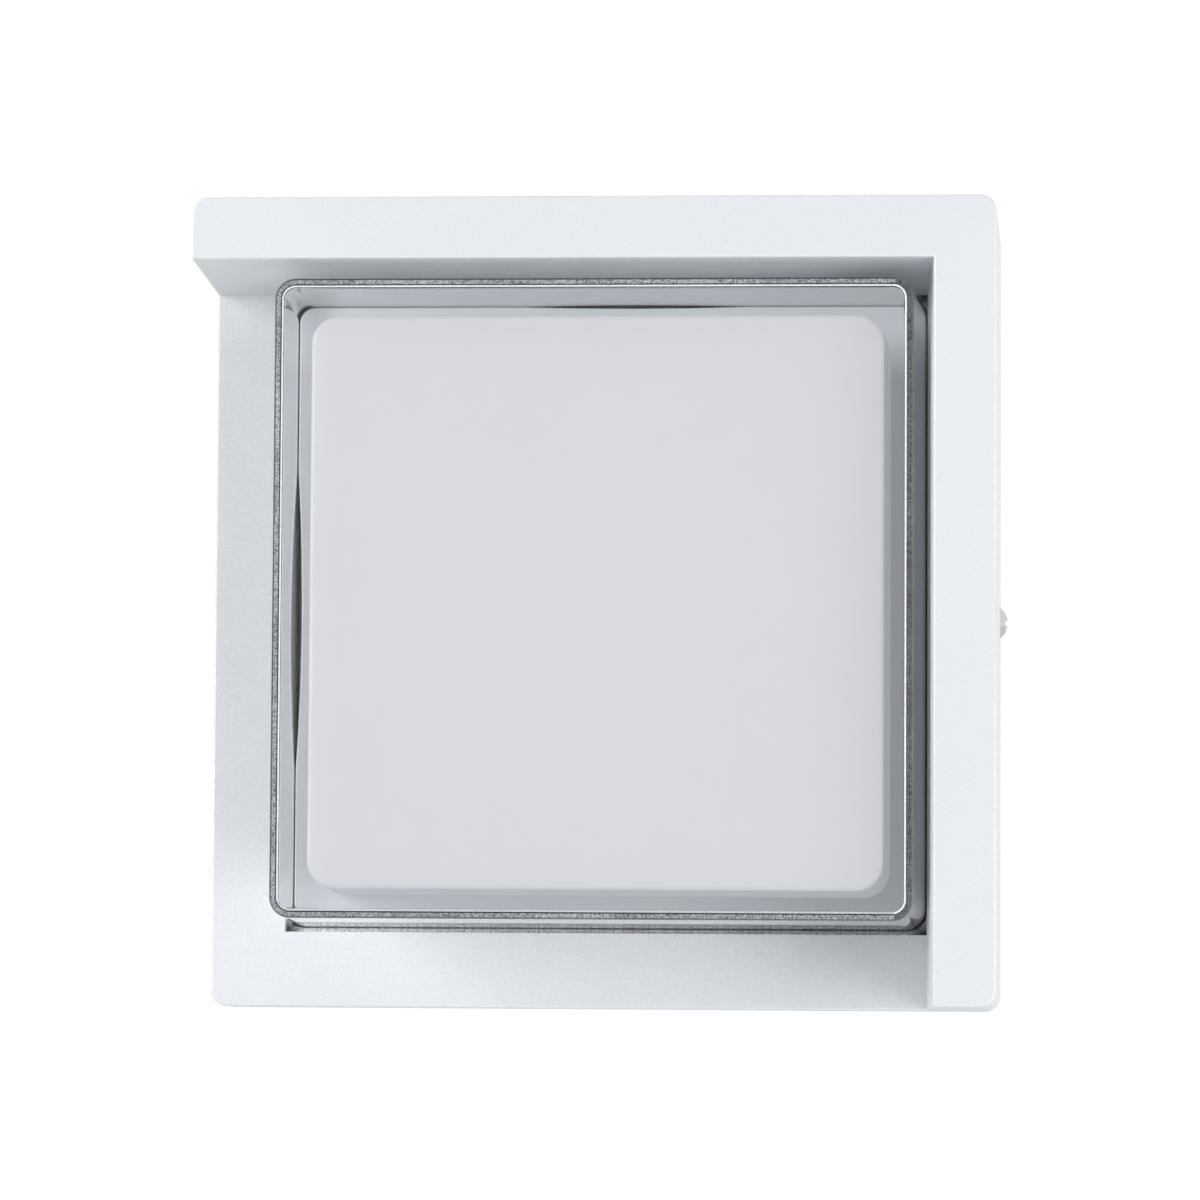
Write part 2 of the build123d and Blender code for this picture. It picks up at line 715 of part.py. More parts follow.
def wall_gasket():
    """Four strips of foam under the casting's edge, mitred at the corners."""
    outer, inner = body_half(seal_t) - seal_inset, body_half(seal_t) - wall + seal_inward
    strips = ring((outer, outer), (inner, inner), 0, seal_t, corner_r, inner_corner_r)
    for turn in (45, -45):
        strips -= Rot(0, 0, turn) * Box(2 * body_size, mitre_gap, body_size)
    return solids_of([strips])


def wall_bracket():
    plate = extrude(RectangleRounded(2 * tab_outer, bracket_h, bracket_r), bracket_t)
    tab_low, tab_high = screw_y - tab_h / 2, screw_y + tab_h / 2
    for y0, y1 in ((-bracket_h, tab_low), (tab_high, bracket_h)):
        plate -= both_sides(slab(tab_inner - tab_root, body_size, y0, y1, -past, bracket_t + past))
    tab = slab(tab_inner, tab_outer, tab_low, tab_high, 0, tab_top)
    tab = fillet(tab.edges().filter_by(Axis.X).group_by(Axis.Z)[-1], tab_r)
    slot_half = m4_r + slot_clear
    inside, outside = tab_inner - past, tab_outer + past
    slot = side_rod(inside, outside, screw_y, side_screw_z, slot_half)
    slot += slab(inside, outside, screw_y - slot_half, screw_y + slot_half, side_screw_z, tab_top + past)
    plate += both_sides(tab)
    plate -= both_sides(slot)
    for x in (-slot_x, slot_x):
        for y in (-slot_y, slot_y):
            plate -= Pos(x, y, bracket_t / 2) * extrude(SlotOverall(slot_l, slot_w), bracket_t, both=True)
    return plate - rod(0, cable_y, -past, bracket_t + past, cable_hole_r)


def cable_grommet():
    top = bracket_t + cable_lip
    grommet = rod(0, cable_y, 0, bracket_t, cable_hole_r)
    grommet += rod(0, cable_y, bracket_t, top, cable_lip_r)
    return grommet - rod(0, cable_y, -past, top + past, cable_bore_r)


def side_screw(seat):
    one = screw(m4_r - thread_clear, m4_head_r, m4_head_h, seat - screw_tip)
    return Pos(seat, screw_y, side_screw_z) * Rot(0, 90, 0) * one


def side_nuts():
    nut = Pos((nut_inner + nut_outer) / 2, screw_y, side_screw_z) * Box(nut_t, nut_size, nut_size)
    nut -= side_rod(nut_inner - past, nut_outer + past, screw_y, side_screw_z, m4_r)
    return solids_of([nut, mirrored(nut)])


pieces = {
    "housing": housing(),
    "clear_cover": clear_cover(),
    "cover_gasket": cover_gasket(),
    "gear_tray": gear_tray(),
    "tray_screws": tray_screws(),
    "opal_diffuser": opal_diffuser(),
    "diffuser_screws": diffuser_screws(),
    "led_carrier": led_carrier(),
    "carrier_screws": carrier_screws(),
    "thermal_pad": board_sheet(bridge_top, pad_top, m3_r + screw_room),
    "led_board": board_sheet(pad_top, board_top, m3_r + hole_clear),
    "led_chips": led_chips(),
    "led_board_screws": led_board_screws(),
    "led_connector": led_connector(),
    "driver_case": driver_case(),
    "driver_lid": driver_lid(),
    "driver_board": driver_board(),
    "driver_transformer": driver_transformer(),
    "driver_capacitors": driver_capacitors(),
    "driver_screws": driver_screws(),
    "dc_lead_red": dc_lead(0),
    "dc_lead_black": dc_lead(1),
    "live_lead": mains_lead(0, run_y + run_step, 1),
    "neutral_lead": mains_lead(1, run_y - run_step, 0),
    "earth_lead": earth_lead(),
    "earth_tag": earth_tag(),
    "earth_screw": earth_screw(),
    "tray_grommet": tray_grommet(),
    "terminal_block": terminal_block(),
    "terminal_clamps": terminal_clamps(),
    "terminal_screws": terminal_screws(),
    "terminal_block_screws": terminal_block_screws(),
    "wall_gasket": wall_gasket(),
    "wall_bracket": wall_bracket(),
    "cable_grommet": cable_grommet(),
    "side_screw_right": side_screw(seat_x),
    "side_screw_left": mirrored(side_screw(sunk_seat_x)),
    "side_nuts": side_nuts(),
}

stand_up = Plane(origin=(0, 0, 0), x_dir=(1, 0, 0), z_dir=(0, -1, 0)).location
os.makedirs("parts", exist_ok=True)
for name, piece in pieces.items():
    export_step(stand_up * piece, f"parts/{name}.step")
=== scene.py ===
import json
from math import cos, radians, sin, tan

import bmesh
import bpy
from mathutils import Matrix, Vector

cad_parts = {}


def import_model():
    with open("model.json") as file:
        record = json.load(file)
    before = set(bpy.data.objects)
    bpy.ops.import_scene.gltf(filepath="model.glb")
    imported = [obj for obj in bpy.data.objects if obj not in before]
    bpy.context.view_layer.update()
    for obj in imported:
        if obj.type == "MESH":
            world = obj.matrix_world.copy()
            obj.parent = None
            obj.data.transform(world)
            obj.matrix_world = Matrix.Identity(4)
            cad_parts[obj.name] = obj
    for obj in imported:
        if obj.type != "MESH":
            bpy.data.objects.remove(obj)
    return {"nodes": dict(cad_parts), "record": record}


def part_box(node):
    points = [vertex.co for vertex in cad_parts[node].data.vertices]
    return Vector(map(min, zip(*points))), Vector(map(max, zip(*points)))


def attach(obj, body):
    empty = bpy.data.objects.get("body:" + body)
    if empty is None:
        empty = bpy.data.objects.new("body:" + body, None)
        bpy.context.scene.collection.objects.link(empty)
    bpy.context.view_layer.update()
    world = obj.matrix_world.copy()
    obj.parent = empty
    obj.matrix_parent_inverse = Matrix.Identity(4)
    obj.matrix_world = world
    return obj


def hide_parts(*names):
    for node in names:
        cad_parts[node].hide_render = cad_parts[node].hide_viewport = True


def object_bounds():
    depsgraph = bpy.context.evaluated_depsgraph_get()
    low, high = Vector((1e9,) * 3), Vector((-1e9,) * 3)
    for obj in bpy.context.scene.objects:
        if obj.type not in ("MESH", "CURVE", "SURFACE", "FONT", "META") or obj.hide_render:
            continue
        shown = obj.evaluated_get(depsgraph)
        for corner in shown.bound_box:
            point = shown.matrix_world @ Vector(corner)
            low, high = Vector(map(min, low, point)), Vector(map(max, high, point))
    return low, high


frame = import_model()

# Looks of a square outdoor wall light: a pale powder-coated casting with an L-shaped visor,
# a clear cover over an opal box, and the bracket, wiring and driver behind and inside it.

MM = 0.001
cad_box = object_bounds()
low, high = cad_box
front_y = low.y


# ---------------------------------------------------------------- shader helpers
def node(tree, kind, **inputs):
    """A shader node with its inputs set by name, spaces written as underscores."""
    made = tree.nodes.new(kind)
    for name, value in inputs.items():
        made.inputs[name.replace("_", " ")].default_value = value
    return made


def wire(tree, out, into):
    tree.links.new(out, into)


def give(tree, value, socket):
    """Sets a socket to a number or a tint, or wires another socket into it."""
    if isinstance(value, float):
        socket.default_value = value
    elif isinstance(value, tuple):
        socket.default_value = (*value, 1)
    else:
        wire(tree, value, socket)


def effect_group(name, inputs, outputs):
    """An empty shader group with named number sockets: inputs are (name, value), outputs are names."""
    tree = bpy.data.node_groups.new(name, "ShaderNodeTree")
    for label, value in inputs:
        socket = tree.interface.new_socket(name=label, in_out="INPUT", socket_type="NodeSocketFloat")
        socket.default_value = value
    for label in outputs:
        tree.interface.new_socket(name=label, in_out="OUTPUT", socket_type="NodeSocketFloat")
    given = tree.nodes.new("NodeGroupInput").outputs
    return tree, given, tree.nodes.new("NodeGroupOutput").inputs


def maths(tree, operation, *values):
    step = node(tree, "ShaderNodeMath")
    step.operation = operation
    for k, value in enumerate(values):
        give(tree, value, step.inputs[k])
    return step.outputs[0]


def times(tree, a, b):
    return maths(tree, "MULTIPLY", a, b)


def share_of(tree, value, start, length):
    """How far value is past start, as a share of length."""
    return maths(tree, "DIVIDE", maths(tree, "SUBTRACT", value, start), length)


def ranged(tree, value, from_low, from_high, to_low, to_high):
    """value stretched from one range to another and held inside it."""
    stretch = node(tree, "ShaderNodeMapRange")
    ends = {"From Min": from_low, "From Max": from_high, "To Min": to_low, "To Max": to_high}
    for label, number in ends.items():
        give(tree, number, stretch.inputs[label])
    wire(tree, value, stretch.inputs["Value"])
    return stretch.outputs["Result"]


def tinted(tree, mask, first, second, how="MIX"):
    """The first colour run into the second by a mask."""
    blend = node(tree, "ShaderNodeMix")
    blend.data_type = "RGBA"
    blend.blend_type = how
    for label, value in (("Factor", mask), ("A", first), ("B", second)):
        give(tree, value, blend.inputs[label])
    return blend.outputs["Result"]


def here(tree):
    """Where a point is on its piece, in metres."""
    return tree.nodes.new("ShaderNodeTexCoord").outputs["Object"]


def apart(tree, where):
    """A place's X, Y and Z by themselves."""
    split = tree.nodes.new("ShaderNodeSeparateXYZ")
    wire(tree, where, split.inputs[0])
    return split.outputs


def stretched(tree, where, scale, turn=(0.0, 0.0, 0.0)):
    """A place turned and drawn out, for patterns that run one way."""
    mapping = node(tree, "ShaderNodeMapping")
    mapping.inputs["Rotation"].default_value = turn
    mapping.inputs["Scale"].default_value = scale
    wire(tree, where, mapping.inputs["Vector"])
    return mapping.outputs["Vector"]


def pattern(tree, kind, where, scale, **inputs):
    """A random pattern over a place."""
    made = node(tree, kind, **inputs)
    wire(tree, where, made.inputs["Vector"])
    give(tree, scale, made.inputs["Scale"])
    return made


def noise(tree, where, scale, **inputs):
    return pattern(tree, "ShaderNodeTexNoise", where, scale, **inputs).outputs["Fac"]


# ---------------------------------------------------------------- shared effects
def build_grain():
    """Fine orange-peel grain of sprayed powder or moulded plastic, and the sparkle of its flakes."""
    tree, given, out = effect_group("grain", [("Grains per m", 2600.0)], ["Height", "Flecks"])
    where, scale = here(tree), given["Grains per m"]
    bumps = noise(tree, where, scale, Detail=2.0, Roughness=0.6)
    cells = pattern(tree, "ShaderNodeTexVoronoi", where, times(tree, scale, 1.4)).outputs["Distance"]
    wire(tree, maths(tree, "ADD", bumps, times(tree, cells, 0.35)), out["Height"])
    wire(tree, ranged(tree, bumps, 0.35, 0.65, 0.0, 1.0), out["Flecks"])
    return tree


def build_drift():
    """Slow change over a surface, as between one part of a sprayed or moulded piece and another."""
    tree, given, out = effect_group("drift", [("Patches per m", 14.0)], ["Mask"])
    slow = noise(tree, here(tree), given["Patches per m"], Detail=3.0, Roughness=0.55)
    wire(tree, ranged(tree, slow, 0.3, 0.7, 0.0, 1.0), out["Mask"])
    return tree


def build_hairlines():
    """Thin scattered scratches, from handling and wiping."""
    tree, given, out = effect_group("hairlines", [("Lines per m", 90.0), ("Share", 0.2)], ["Mask"])
    where = here(tree)
    masks = []
    for turn, length in ((0.5, 22.0), (1.9, 30.0)):
        drawn = stretched(tree, where, (1.0, 1.0, length), turn=(0.3 * turn, turn, 0.2))
        lines = pattern(tree, "ShaderNodeTexVoronoi", drawn, given["Lines per m"])
        lines.feature = "DISTANCE_TO_EDGE"
        masks.append(ranged(tree, lines.outputs["Distance"], 0.0, 0.012, 1.0, 0.0))
    some = ranged(tree, noise(tree, where, 25.0, Detail=1.0), 0.5, 0.75, 0.0, 1.0)
    both = times(tree, maths(tree, "ADD", *masks), some)
    wire(tree, times(tree, both, given["Share"]), out["Mask"])
    return tree


def build_brushing():
    """Rolling marks of sheet metal, along X."""
    tree, given, out = effect_group("brushing", [("Lines per m", 900.0)], ["Height"])
    drawn = stretched(tree, here(tree), (0.03, 1.0, 1.0))
    wire(tree, noise(tree, drawn, given["Lines per m"], Detail=4.0, Roughness=0.7), out["Height"])
    return tree


def build_gap_light():
    """Painted light along the gap round the cover: pale in soft patches round the outside of a square frame,
    with none in its corners, which stay dark as painted shade.
    """
    tree, given, out = effect_group(
        "gap_light", [("Corner at m", 0.076), ("Fades over m", 0.004), ("Outside at m", 0.0792)], ["Mask"]
    )
    where = here(tree)
    place = apart(tree, where)
    sizes = [maths(tree, "ABSOLUTE", place[axis]) for axis in "XZ"]
    in_corner = share_of(tree, maths(tree, "MINIMUM", *sizes), given["Corner at m"], given["Fades over m"])
    straight = ranged(tree, in_corner, 0.0, 1.0, 1.0, 0.0)
    outside = maths(tree, "GREATER_THAN", maths(tree, "MAXIMUM", *sizes), given["Outside at m"])
    patchy = ranged(tree, noise(tree, where, 1800.0, Detail=2.0), 0.3, 0.7, 0.35, 1.0)
    wire(tree, times(tree, times(tree, straight, outside), patchy), out["Mask"])
    return tree


def build_face():
    """1 on the front of a box that faces the viewer, fading behind its front edge. The opal's painted glow is
    brighter there than on its sides.
    """
    tree, given, out = effect_group("face", [("Front at m", -0.0632), ("Fades over m", 0.004)], ["Mask"])
    behind = share_of(tree, apart(tree, here(tree))["Y"], given["Front at m"], given["Fades over m"])
    wire(tree, ranged(tree, behind, 0.0, 1.0, 1.0, 0.0), out["Mask"])
    return tree


def build_spill():
    """Painted light round the opal box, given as glow on the tray: most above it, least at its left, none past
    a square or behind it.
    """
    tree, given, out = effect_group(
        "spill",
        [
            ("Half at m", 0.081), ("Level at m", -0.0185), ("Above from m", 0.060), ("Above to m", 0.070),
            ("Left from m", -0.074), ("Left to m", -0.066), ("Share", 0.42), ("Share above", 0.95),
            ("Share of it on the left", 0.5),
        ],
        ["Mask"],
    )
    place = apart(tree, here(tree))
    furthest = maths(tree, "MAXIMUM", *(maths(tree, "ABSOLUTE", place[axis]) for axis in "XZ"))
    inside = maths(tree, "LESS_THAN", furthest, given["Half at m"])
    ahead = maths(tree, "LESS_THAN", place["Y"], given["Level at m"])
    rise = (given["Above from m"], given["Above to m"], given["Share"], given["Share above"])
    fall = (given["Left from m"], given["Left to m"], given["Share of it on the left"], 1.0)
    shed = times(tree, ranged(tree, place["Z"], *rise), ranged(tree, place["X"], *fall))
    wire(tree, times(tree, times(tree, inside, ahead), shed), out["Mask"])
    return tree


def build_sides():
    """1 along the right and lower sides of a square frame, 0 along the other two."""
    tree, given, out = effect_group("sides", [("Side at m", 0.0735)], ["Right", "Low"])
    place = apart(tree, here(tree))
    for axis, sign, name in (("X", 1.0, "Right"), ("Z", -1.0, "Low")):
        outward = times(tree, place[axis], sign)
        wire(tree, maths(tree, "GREATER_THAN", outward, given["Side at m"]), out[name])
    return tree


def build_stripe():
    """Bands that run slantwise round a lead."""
    tree, given, out = effect_group("stripe", [("Bands per m", 160.0)], ["Mask"])
    bands = pattern(tree, "ShaderNodeTexWave", here(tree), given["Bands per m"])
    bands.wave_type = "BANDS"
    bands.bands_direction = "DIAGONAL"
    wire(tree, ranged(tree, bands.outputs["Fac"], 0.55, 0.62, 0.0, 1.0), out["Mask"])
    return tree


def build_tracks():
    """Copper tracks of a circuit board under its solder mask: straight cells with gaps between them."""
    tree, given, out = effect_group("tracks", [("Tracks per m", 160.0)], ["Mask", "Height"])
    cells = pattern(tree, "ShaderNodeTexVoronoi", here(tree), given["Tracks per m"])
    cells.distance = "CHEBYCHEV"
    cells.feature = "DISTANCE_TO_EDGE"
    lands = ranged(tree, cells.outputs["Distance"], 0.05, 0.08, 0.0, 1.0)
    wire(tree, lands, out["Mask"])
    wire(tree, lands, out["Height"])
    return tree


grain = build_grain()
drift = build_drift()
hairlines = build_hairlines()
brushing = build_brushing()
gap_light = build_gap_light()
stripe = build_stripe()
tracks = build_tracks()
sides = build_sides()
spill = build_spill()
face = build_face()


# ---------------------------------------------------------------- materials
class Finish:
    """One material: a Principled shader, with places to add the shared effects."""

    def __init__(self, name, **inputs):
        self.material = bpy.data.materials.new(name)
        self.material.use_nodes = True
        self.tree = self.material.node_tree
        self.shader = next(n for n in self.tree.nodes if n.type == "BSDF_PRINCIPLED")
        self.end = next(n for n in self.tree.nodes if n.type == "OUTPUT_MATERIAL")
        for label, value in inputs.items():
            self.shader.inputs[label.replace("_", " ")].default_value = value

    def effect(self, group, **inputs):
        placed = self.tree.nodes.new("ShaderNodeGroup")
        placed.node_tree = group
        for label, value in inputs.items():
            placed.inputs[label.replace("_", " ")].default_value = value
        return placed.outputs

    def feed(self, out, socket):
        wire(self.tree, out, self.shader.inputs[socket])

    def bump(self, height, strength, depth):
        """Raises the surface by height; depth is in metres."""
        relief = node(self.tree, "ShaderNodeBump", Strength=strength, Distance=depth)
        wire(self.tree, height, relief.inputs["Height"])
        self.feed(relief.outputs["Normal"], "Normal")

    def coat(self, dark, light, rough=(0.4, 0.5), grains=2600.0, relief=0.35, depth=0.00006, patches=14.0):
        """Sprayed or moulded skin: two close tints, uneven roughness and a fine grain."""
        grains_out = self.effect(grain, Grains_per_m=grains)
        slow = self.effect(drift, Patches_per_m=patches)["Mask"]
        self.feed(tinted(self.tree, slow, dark, light), "Base Color")
        self.feed(ranged(self.tree, grains_out["Flecks"], 0.0, 1.0, *rough), "Roughness")
        self.bump(grains_out["Height"], relief, depth)


def grained(name, dark, light, coat_weight=0.0, **coat):
    finish = Finish(name, Coat_Weight=coat_weight)
    finish.coat(dark, light, **coat)
    return finish.material


def painted_glow(name, dark, light, shed, dim, bright, strength, **coat):
    """Finish with a painted glow: emission standing in for light scattered in the opal box, dim to bright as
    the shed effect says.
    """
    finish = Finish(name, Emission_Strength=strength)
    finish.coat(dark, light, **coat)
    mask = finish.effect(shed)["Mask"]
    finish.feed(tinted(finish.tree, mask, dim, bright), "Emission Color")
    return finish.material


def powder_coat():
    """Silvery white powder coat: pale flecks in a fine-grained satin skin."""
    finish = Finish("powder_coat")
    grains_out = finish.effect(grain, Grains_per_m=2300.0)
    slow = finish.effect(drift, Patches_per_m=9.0)["Mask"]
    tree, flecks = finish.tree, grains_out["Flecks"]
    base = tinted(tree, slow, (0.735, 0.765, 0.800), (0.765, 0.792, 0.824))
    flecked = tinted(tree, flecks, (0.89, 0.89, 0.89), (1.0, 1.0, 1.0))
    finish.feed(tinted(tree, 1.0, base, flecked, how="MULTIPLY"), "Base Color")
    finish.feed(ranged(tree, flecks, 0.0, 1.0, 0.58, 0.42), "Roughness")
    finish.feed(ranged(tree, flecks, 0.0, 1.0, 0.05, 0.22), "Metallic")
    finish.bump(grains_out["Height"], 0.45, 0.00008)
    return finish.material


def clear_plastic():
    """Clear moulded cover. Light passes straight through it, so what is inside stays lit."""
    finish = Finish("clear_cover", Base_Color=(0.985, 0.992, 0.995, 1), Transmission_Weight=1.0, IOR=1.5)
    scratches = finish.effect(hairlines, Lines_per_m=60.0, Share=0.12)["Mask"]
    finish.feed(ranged(finish.tree, scratches, 0.0, 1.0, 0.0, 0.5), "Roughness")
    tree = finish.tree
    through = node(tree, "ShaderNodeBsdfTransparent")
    through.inputs["Color"].default_value = (0.972, 0.975, 0.98, 1)
    path = tree.nodes.new("ShaderNodeLightPath")
    choose = tree.nodes.new("ShaderNodeMixShader")
    wire(tree, path.outputs["Is Shadow Ray"], choose.inputs["Fac"])
    wire(tree, finish.shader.outputs["BSDF"], choose.inputs[1])
    wire(tree, through.outputs["BSDF"], choose.inputs[2])
    wire(tree, choose.outputs["Shader"], finish.end.inputs["Surface"])
    return finish.material


def painted_rim(name, upper, right, lower, spread, rough=0.35):
    """Opaque edge strip of the clear cover, painted with the light and shade seen in its rim in place of
    refraction: one tint for its left and top, one for its right, one below, with a grainy speckle.
    """
    finish = Finish(name, Roughness=rough)
    tree = finish.tree
    grains_out = finish.effect(grain, Grains_per_m=3600.0)
    slow = finish.effect(drift, Patches_per_m=55.0)["Mask"]
    side = finish.effect(sides)
    # painted light and shade: each side of the rim gets its own tint for how light falls on it
    tint = tinted(tree, side["Right"], tinted(tree, side["Low"], upper, lower), right)
    marks = times(tree, grains_out["Flecks"], ranged(tree, slow, 0.0, 1.0, 0.6, 1.0))
    speckle = tinted(tree, marks, (1 - spread,) * 3, (1 + spread,) * 3)
    finish.feed(tinted(tree, 1.0, tint, speckle, how="MULTIPLY"), "Base Color")
    finish.bump(grains_out["Height"], 0.6, 0.0001)
    return finish.material


def metal(name, dark, light, rough=(0.25, 0.4), lines=900.0, relief=0.25, depth=0.00003):
    """Bare or plated metal with rolling marks."""
    finish = Finish(name, Metallic=1.0)
    marks = finish.effect(brushing, Lines_per_m=lines)["Height"]
    slow = finish.effect(drift, Patches_per_m=60.0)["Mask"]
    finish.feed(tinted(finish.tree, slow, dark, light), "Base Color")
    finish.feed(ranged(finish.tree, marks, 0.3, 0.7, *rough), "Roughness")
    finish.bump(marks, relief, depth)
    return finish.material


def rubber_with_painted_light(name, dark, light, lit_tint):
    """Near-black rubber with pale painted light on its straight runs and none in its corners, which stay dark
    as painted shade.
    """
    finish = Finish(name, Roughness=0.75)
    grains_out = finish.effect(grain, Grains_per_m=1500.0)
    bare = tinted(finish.tree, grains_out["Flecks"], dark, light)
    finish.feed(tinted(finish.tree, finish.effect(gap_light)["Mask"], bare, lit_tint), "Base Color")
    finish.bump(grains_out["Height"], 0.5, 0.0001)
    return finish.material


def insulation(name, dark, light):
    return grained(name, dark, light, grains=4000.0, relief=0.15)


def striped(name, first, second):
    """Lead insulation in two colours."""
    finish = Finish(name, Roughness=0.45)
    bands = finish.effect(stripe)["Mask"]
    grains_out = finish.effect(grain, Grains_per_m=4000.0)
    finish.feed(tinted(finish.tree, bands, first, second), "Base Color")
    finish.bump(grains_out["Height"], 0.15, 0.00003)
    return finish.material


def circuit(name, mask_low, mask_high, rough=(0.3, 0.45)):
    """Circuit board: solder mask, a little lighter over its copper."""
    finish = Finish(name, Coat_Weight=0.3, Coat_Roughness=0.2)
    traces = finish.effect(tracks)
    grains_out = finish.effect(grain, Grains_per_m=5000.0)
    finish.feed(tinted(finish.tree, traces["Mask"], mask_low, mask_high), "Base Color")
    finish.feed(ranged(finish.tree, grains_out["Flecks"], 0.0, 1.0, *rough), "Roughness")
    finish.bump(traces["Height"], 0.3, 0.00004)
    return finish.material


materials = {
    "powder_coat": powder_coat(),
    "clear_cover": clear_plastic(),
    # painted glow: the opal's dark base is outshone by emission standing in for light through the translucent
    # box, brighter on its front than on its sides
    "opal": painted_glow("opal", (0.189, 0.184, 0.193), (0.196, 0.191, 0.200), shed=face, dim=(0.60, 0.63, 0.69),
                    bright=(0.92, 0.94, 1.0), strength=0.475, rough=(0.42, 0.50), relief=0.1),
    # painted light and shade: the tray glows with emission standing in for light from the opal box, and its
    # base is a mid grey, darker than white paint, for the shade in the strips round the opal
    "white_tray": painted_glow("white_tray", (0.33, 0.34, 0.365), (0.36, 0.37, 0.395), shed=spill,
                          dim=(0.0, 0.0, 0.0), bright=(0.90, 0.94, 1.0), strength=0.46, rough=(0.42, 0.52)),
    # painted light and shade: the gasket is near black, with pale painted light along the straight runs of the
    # gap round the cover
    "grey_silicone": rubber_with_painted_light("grey_silicone", (0.035, 0.035, 0.037), (0.10, 0.10, 0.104),
                                  lit_tint=(0.90, 0.91, 0.94)),
    "black_rubber": grained("black_rubber", (0.012, 0.012, 0.013), (0.022, 0.022, 0.023), rough=(0.5, 0.7)),
    "foam": grained("foam", (0.03, 0.03, 0.032), (0.06, 0.06, 0.062), rough=(0.8, 0.95), grains=1200.0,
                    relief=0.9, depth=0.0003),
    "stainless": metal("stainless", (0.60, 0.60, 0.59), (0.72, 0.72, 0.71), rough=(0.18, 0.3)),
    "zinc_steel": metal("zinc_steel", (0.55, 0.57, 0.60), (0.68, 0.69, 0.70)),
    "sheet_aluminium": metal("sheet_aluminium", (0.70, 0.71, 0.72), (0.80, 0.81, 0.82), rough=(0.3, 0.5)),
    "brass": metal("brass", (0.58, 0.42, 0.16), (0.74, 0.56, 0.26), rough=(0.2, 0.38)),
    "thermal_pad": grained("thermal_pad", (0.30, 0.36, 0.44), (0.36, 0.41, 0.48), rough=(0.7, 0.85),
                           relief=0.5),
    "white_board": circuit("white_board", (0.80, 0.81, 0.80), (0.87, 0.88, 0.86)),
    "green_board": circuit("green_board", (0.02, 0.13, 0.05), (0.05, 0.24, 0.10)),
    "led": grained("led", (0.86, 0.74, 0.22), (0.92, 0.82, 0.34), rough=(0.2, 0.35), grains=6000.0,
                   coat_weight=0.5),
    "white_plastic": grained("white_plastic", (0.74, 0.74, 0.71), (0.80, 0.80, 0.77), grains=1800.0),
    "grey_plastic": grained("grey_plastic", (0.58, 0.59, 0.58), (0.66, 0.67, 0.66), grains=1800.0),
    "ferrite": grained("ferrite", (0.035, 0.032, 0.03), (0.07, 0.065, 0.06), rough=(0.55, 0.8), grains=3000.0,
                       relief=0.6),
    "capacitor": grained("capacitor", (0.015, 0.022, 0.05), (0.025, 0.035, 0.07), rough=(0.2, 0.32),
                         relief=0.1),
    "red_lead": insulation("red_lead", (0.42, 0.02, 0.015), (0.50, 0.035, 0.025)),
    "black_lead": insulation("black_lead", (0.015, 0.015, 0.016), (0.03, 0.03, 0.031)),
    "brown_lead": insulation("brown_lead", (0.12, 0.045, 0.02), (0.17, 0.065, 0.03)),
    "blue_lead": insulation("blue_lead", (0.02, 0.09, 0.34), (0.035, 0.12, 0.42)),
    "earth_lead": striped("earth_lead", (0.07, 0.30, 0.04), (0.80, 0.66, 0.05)),
}


def dress(name, finish):
    obj = frame["nodes"][name]
    obj.data.materials.clear()
    obj.data.materials.append(finish)


for part in frame["record"]["subparts"]:
    dress(part["node"], materials[part["material_slot"]])


# ---------------------------------------------------------------- the clear cover
COVER_WALL = 2.0 * MM
OUTER_CORNER, INNER_CORNER = 5.0 * MM, 3.0 * MM
INNER_BEND = 0.6 * MM                     # rounding inside, where the walls meet the front
FLANGE_REACH, FLANGE_THICK = 3.2 * MM, 2.2 * MM
LEDGE_Y = -22.0 * MM                      # the gaps round the cover are measured at the casting's ledge
SIDE_GAP, END_GAP = 0.3 * MM, 1.25 * MM   # left and right of the cover, above and below it
SIDE_DRAFT, END_DRAFT = radians(3.0), radians(2.0)
SHARP_EDGE = 30.0                         # degrees; flatter bends are shaded smooth


def rounded_frame(build, centre, half_x, half_z, r, y, steps=10):
    """One ring of vertices: a rounded rectangle facing the viewer."""
    ring = []
    for side_x, side_z, start in ((1, 1, 0), (-1, 1, 90), (-1, -1, 180), (1, -1, 270)):
        for k in range(steps + 1):
            a = radians(start + 90 * k / steps)
            x = centre.x + side_x * (half_x - r) + r * cos(a)
            z = centre.z + side_z * (half_z - r) + r * sin(a)
            ring.append(build.verts.new((x, y, z)))
    return ring


def skin(name, centre, stations, finishes):
    """Closed shell through a run of rounded frames.

    Each station is (half_x, half_z, r, y, number of the finish of the strip after it).
    """
    build = bmesh.new()
    rings = [rounded_frame(build, centre, *station[:4]) for station in stations]
    build.faces.new(rings[0]).material_index = stations[0][4]
    for ring, following, station in zip(rings, rings[1:], stations):
        for k in range(len(ring)):
            n = (k + 1) % len(ring)
            face = build.faces.new((ring[k], ring[n], following[n], following[k]))
            face.material_index = station[4]
            face.smooth = True
    build.faces.new(rings[-1]).material_index = stations[-1][4]
    bmesh.ops.recalc_face_normals(build, faces=build.faces)
    mesh = bpy.data.meshes.new(name)
    build.to_mesh(mesh)
    build.free()
    for finish in finishes:
        mesh.materials.append(finish)
    mesh.set_sharp_from_angle(angle=radians(SHARP_EDGE))
    obj = bpy.data.objects.new(name, mesh)
    bpy.context.collection.objects.link(obj)
    level = obj.modifiers.new("walls stay flat", "WEIGHTED_NORMAL")
    level.keep_sharp = True
    level.weight = 100
    return obj


